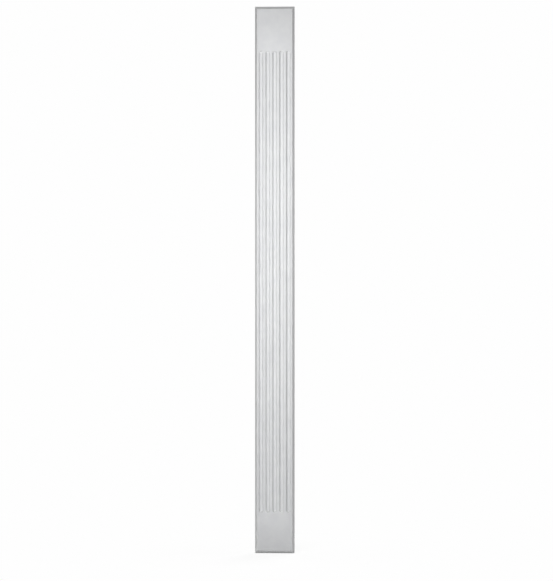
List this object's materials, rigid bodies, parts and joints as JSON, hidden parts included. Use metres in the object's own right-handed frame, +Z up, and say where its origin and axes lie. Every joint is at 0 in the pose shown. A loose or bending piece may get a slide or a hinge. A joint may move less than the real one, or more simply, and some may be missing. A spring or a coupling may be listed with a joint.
{
  "type": "fluted pilaster shaft",
  "caption": "Flat upright pilaster shaft for a wall: a long strip with a bevelled rim, stopped round-ended flutes and a plain length at head and foot.",
  "frame": {"origin": "centre of the flat back, where the shaft lies on the wall", "axes": "+Z up the shaft towards its head, -Y out of the wall towards the viewer, +X to the viewer's right"},
  "size_m": [0.145, 0.02, 2],
  "materials": {
    "primed_polyurethane": "factory-primed rigid polyurethane foam, fine eggshell skin, white"
  },
  "bodies": {
    "root": {"fluted_pilaster_shaft": "primed_polyurethane"}
  },
  "joints": []
}
